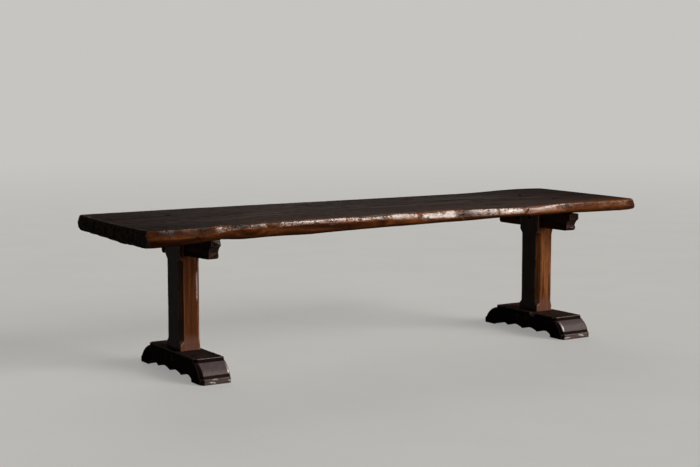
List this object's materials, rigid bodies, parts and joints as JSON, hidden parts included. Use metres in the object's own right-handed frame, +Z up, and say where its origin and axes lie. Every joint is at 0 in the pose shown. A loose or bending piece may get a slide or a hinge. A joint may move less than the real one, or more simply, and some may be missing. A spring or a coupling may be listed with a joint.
{
  "type": "refectory table",
  "caption": "Long refectory table: a thick live-edged plank top on pegged trestles with chamfered posts, shaped bolsters and moulded sledge feet.",
  "frame": {"origin": "on the floor, under the middle of the box round the table", "axes": "+X along the table to the right, +Y away from the front edge, +Z up"},
  "size_m": [3.0265, 0.9899, 0.76],
  "materials": {
    "top_wood": "dark waxed, worn lighter along the live edge",
    "post_wood": "dark honey, waxed",
    "foot_wood": "very dark, polished by wear",
    "bolster_wood": "very dark, waxed",
    "peg_wood": "dark, riven"
  },
  "bodies": {
    "root": {"top_slab": "top_wood", "left_foot": "foot_wood", "left_post": "post_wood", "left_bolster": "bolster_wood", "left_head_peg": "peg_wood", "left_front_foot_peg": "peg_wood", "left_front_trenail": "peg_wood", "left_front_trenail_wedge": "peg_wood", "left_rear_foot_peg": "peg_wood", "left_rear_trenail": "peg_wood", "left_rear_trenail_wedge": "peg_wood", "right_foot": "foot_wood", "right_post": "post_wood", "right_bolster": "bolster_wood", "right_head_peg": "peg_wood", "right_front_foot_peg": "peg_wood", "right_front_trenail": "peg_wood", "right_front_trenail_wedge": "peg_wood", "right_rear_foot_peg": "peg_wood", "right_rear_trenail": "peg_wood", "right_rear_trenail_wedge": "peg_wood"}
  },
  "joints": []
}
